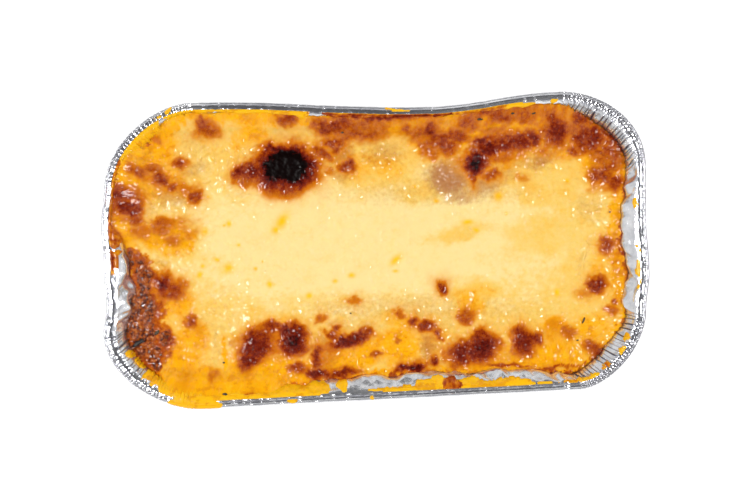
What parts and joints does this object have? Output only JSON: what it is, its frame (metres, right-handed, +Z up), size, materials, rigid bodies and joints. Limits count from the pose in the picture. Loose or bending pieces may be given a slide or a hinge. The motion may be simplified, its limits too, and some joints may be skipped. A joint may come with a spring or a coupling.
{
  "type": "foil tray meal",
  "caption": "Baked lasagne in its crimped foil tray: pasta and meat sauce filling under a browned layer of melted cheese.",
  "frame": {"origin": "middle of the tray's underside, on the surface it stands on", "axes": "+X along the tray, +Y across it, away from the eater, +Z up out of the tray's mouth"},
  "size_m": [0.1901, 0.11, 0.045],
  "materials": {
    "foil": "bright crumpled foil",
    "meat_sauce": "moist meat sauce",
    "cheese": "greasy melted cheese"
  },
  "bodies": {
    "root": {"foil_tray": "foil", "pasta_and_meat_sauce": "meat_sauce", "melted_cheese": "cheese"}
  },
  "joints": []
}
